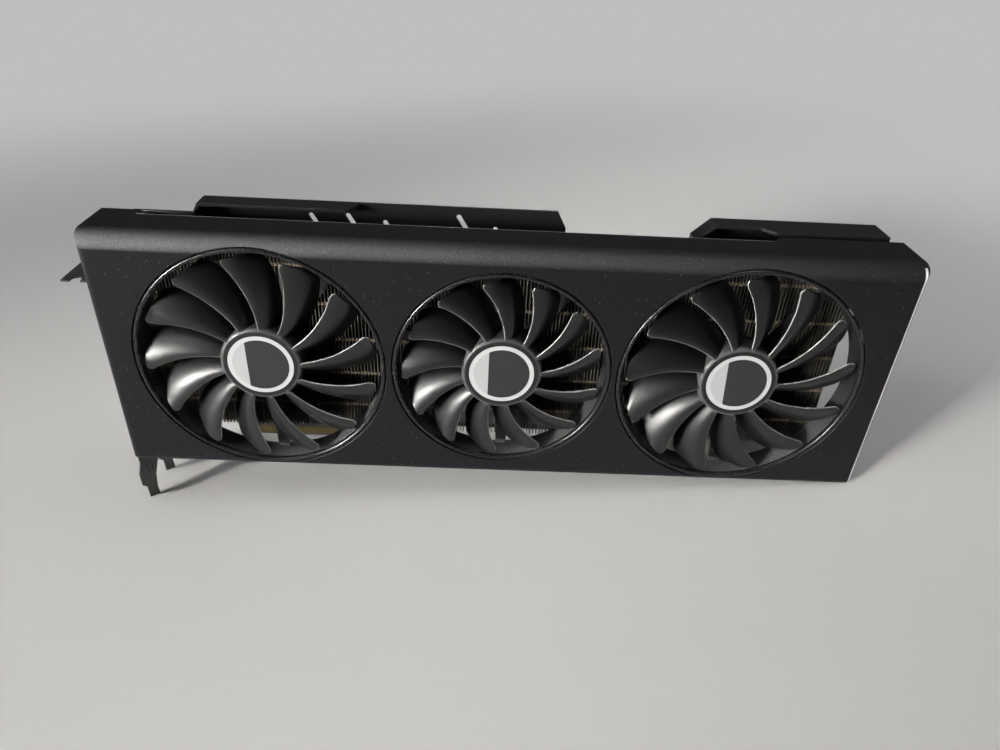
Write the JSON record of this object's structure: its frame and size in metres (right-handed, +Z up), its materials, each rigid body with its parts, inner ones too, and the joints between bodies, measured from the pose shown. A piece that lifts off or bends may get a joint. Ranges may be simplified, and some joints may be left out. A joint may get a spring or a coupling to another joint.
{
  "type": "graphics card",
  "caption": "Long two-slot graphics card: black bent front cover with round fan openings, spinning bladed fans, finned heatsink, circuit board, slot bracket and vented backplate.",
  "frame": {"origin": "bottom centre of the bounding box: midway along the card, midway through its depth, level with the tips of the bracket's tongues", "axes": "+X along the card away from the slot bracket, +Y from the fans towards the backplate, +Z up from the edge connector"},
  "size_m": [0.3514, 0.049, 0.145],
  "materials": {
    "cover_black": "fine-textured moulded plastic, slightly navy black",
    "frame_black": "moulded plastic with a glossy rim and a grained duct",
    "rotor_black": "satin moulded plastic",
    "label_grey": "printed film, light grey with a darker field",
    "steel": "plain steel",
    "magnet": "bonded ferrite",
    "bearing_bronze": "sintered bronze",
    "winding_copper": "wound enamelled copper on steel laminations",
    "screw_black": "blackened steel",
    "fin_aluminium": "stamped sheet",
    "copper": "plain copper",
    "plate_aluminium": "cast, dark",
    "thermal_grey": "soft thermal compound",
    "standoff_brass": "turned",
    "board_black": "black solder mask on glass fibre",
    "gold": "gold plating",
    "package_green": "laminate",
    "die_silicon": "polished silicon",
    "chip_black": "moulded epoxy",
    "choke_grey": "pressed iron powder",
    "can_aluminium": "drawn can",
    "socket_black": "moulded nylon",
    "pin_tin": "tinned",
    "header_white": "moulded nylon",
    "bracket_black": "black powder coat on steel",
    "socket_steel": "folded plated steel",
    "backplate_black": "black coat on aluminium sheet"
  },
  "bodies": {
    "card": {"front_cover": "cover_black", "fan_frame_left": "frame_black", "bearing_left": "bearing_bronze", "stator_left": "winding_copper", "fan_frame_centre": "frame_black", "bearing_centre": "bearing_bronze", "stator_centre": "winding_copper", "fan_frame_right": "frame_black", "bearing_right": "bearing_bronze", "stator_right": "winding_copper", "fan_screws": "screw_black", "backplate_screws": "screw_black", "bracket_screws": "screw_black", "fin_stack_left": "fin_aluminium", "fin_stack_centre": "fin_aluminium", "fin_stack_right": "fin_aluminium", "heat_pipes": "copper", "cold_plate": "copper", "mid_plate": "plate_aluminium", "thermal_paste": "thermal_grey", "thermal_pads": "thermal_grey", "standoffs": "standoff_brass", "backplate_spacers": "standoff_brass", "circuit_board": "board_black", "edge_contacts": "gold", "processor_package": "package_green", "processor_die": "die_silicon", "memory_chips": "chip_black", "power_stages": "chip_black", "chokes": "choke_grey", "capacitors": "can_aluminium", "power_socket_left": "socket_black", "power_socket_right": "socket_black", "power_pins": "pin_tin", "fan_header": "header_white", "slot_bracket": "bracket_black", "wide_display_sockets": "socket_steel", "narrow_display_socket": "socket_steel", "backplate": "backplate_black", "retention_bracket": "steel", "spring_screws": "steel"},
    "fan_left": {"rotor_left": "rotor_black", "hub_label_left": "label_grey", "shaft_left": "steel", "magnet_ring_left": "magnet"},
    "fan_centre": {"rotor_centre": "rotor_black", "hub_label_centre": "label_grey", "shaft_centre": "steel", "magnet_ring_centre": "magnet"},
    "fan_right": {"rotor_right": "rotor_black", "hub_label_right": "label_grey", "shaft_right": "steel", "magnet_ring_right": "magnet"}
  },
  "joints": [
    {"name": "fan_left_spin", "type": "hinge", "parent": "card", "child": "fan_left", "pos_m": [-0.09625, -0.01845, 0.08802], "axis": [0, -1, 0], "continuous": true},
    {"name": "fan_centre_spin", "type": "hinge", "parent": "card", "child": "fan_centre", "pos_m": [0.00675, -0.01845, 0.08802], "axis": [0, -1, 0], "continuous": true},
    {"name": "fan_right_spin", "type": "hinge", "parent": "card", "child": "fan_right", "pos_m": [0.10974, -0.01845, 0.08802], "axis": [0, -1, 0], "continuous": true}
  ]
}
